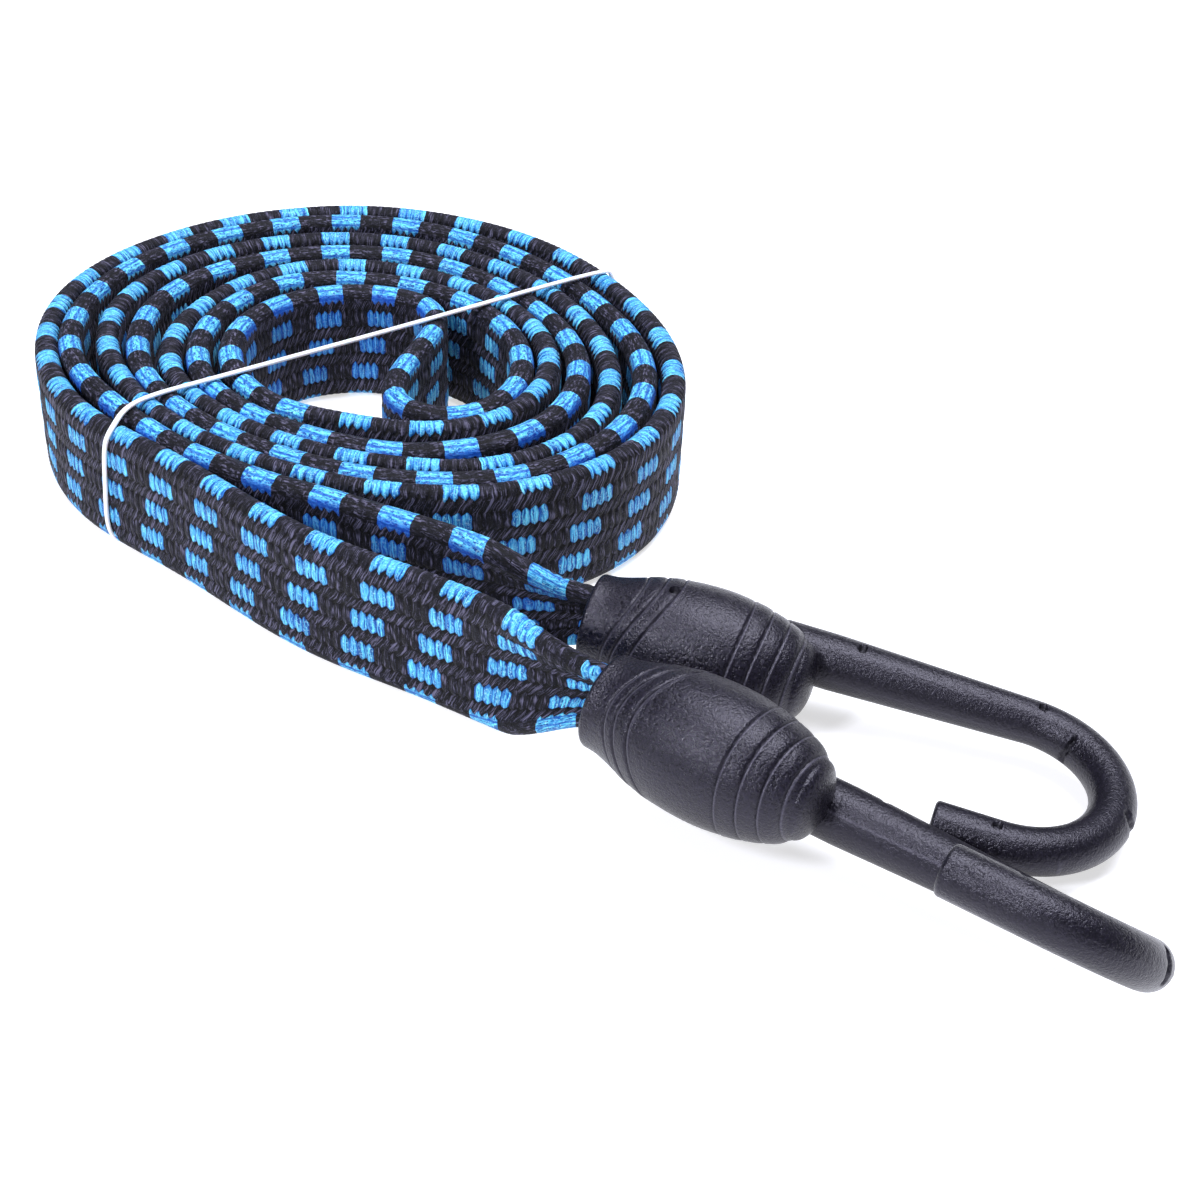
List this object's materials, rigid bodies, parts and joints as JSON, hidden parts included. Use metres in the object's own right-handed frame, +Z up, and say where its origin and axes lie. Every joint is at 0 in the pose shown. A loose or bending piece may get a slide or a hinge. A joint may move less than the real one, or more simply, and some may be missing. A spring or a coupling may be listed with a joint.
{
  "type": "bungee cord",
  "caption": "Flat elastic bungee cord wound into a tied bundle, with a moulded barrel head and plastic-coated hook at each free end.",
  "frame": {"origin": "centre of the whole part's footprint, on the surface it lies on", "axes": "+X towards the hooks and along the longest side, +Y away from the front hook, +Z up from the surface it lies on"},
  "size_m": [0.21, 0.108, 0.0271],
  "materials": {
    "strap_weave": "black woven strap with a bright blue stitched pattern",
    "latex": "raw elastic strands",
    "head_plastic": "satin, fine grain, moulded",
    "hook_plastic": "satin, fine grain, moulded coating",
    "wire_steel": "drawn wire",
    "folded_strap": "strap folded back on itself inside the head",
    "crimp_steel": "plain pressed band",
    "tie_plastic": "thin white tie"
  },
  "bodies": {
    "coil_bundle": {"wound_strap_coil": "strap_weave", "bundle_tie": "tie_plastic"},
    "front_tail_root": {"strap_sleeve_front_root": "strap_weave", "latex_core_front_root": "latex"},
    "front_tail_tip": {"strap_sleeve_front_tip": "strap_weave", "latex_core_front_tip": "latex"},
    "front_end": {"barrel_head_front": "head_plastic", "hook_coating_front": "hook_plastic", "hook_wire_front": "wire_steel", "folded_strap_end_front": "folded_strap", "crimp_ferrule_front": "crimp_steel"},
    "rear_tail_root": {"strap_sleeve_rear_root": "strap_weave", "latex_core_rear_root": "latex"},
    "rear_tail_tip": {"strap_sleeve_rear_tip": "strap_weave", "latex_core_rear_tip": "latex"},
    "rear_end": {"barrel_head_rear": "head_plastic", "hook_coating_rear": "hook_plastic", "hook_wire_rear": "wire_steel", "folded_strap_end_rear": "folded_strap", "crimp_ferrule_rear": "crimp_steel"}
  },
  "joints": [
    {"name": "front_swing", "type": "hinge", "parent": "coil_bundle", "child": "front_tail_root", "pos_m": [-0.04519, -0.04083, 0.01], "axis": [0, 0, 1], "range_deg": [-30, 0], "stiffness_Nm_per_rad": 0.05},
    {"name": "front_stretch", "type": "slide", "parent": "front_tail_root", "child": "front_tail_tip", "axis": [1, 0, 0], "range_m": [0, 0.04], "stiffness_N_per_m": 2300},
    {"name": "front_twist", "type": "hinge", "parent": "front_tail_tip", "child": "front_end", "pos_m": [0.05937, -0.03844, 0.01222], "axis": [0.9966, 0.0623, -0.0533], "range_deg": [-45, 3], "stiffness_Nm_per_rad": 0.05},
    {"name": "rear_swing", "type": "hinge", "parent": "coil_bundle", "child": "rear_tail_root", "pos_m": [-0.02334, -0.03342, 0.01], "axis": [0, 0, 1], "range_deg": [0, 10], "stiffness_Nm_per_rad": 0.05},
    {"name": "rear_stretch", "type": "slide", "parent": "rear_tail_root", "child": "rear_tail_tip", "axis": [0.9734, 0.2289, 0], "range_m": [0, 0.025], "stiffness_N_per_m": 2300},
    {"name": "rear_twist", "type": "hinge", "parent": "rear_tail_tip", "child": "rear_end", "pos_m": [0.04355, -0.0148, 0.00844], "axis": [0.9464, 0.3114, -0.0854], "range_deg": [-80, 0], "stiffness_Nm_per_rad": 0.05}
  ]
}
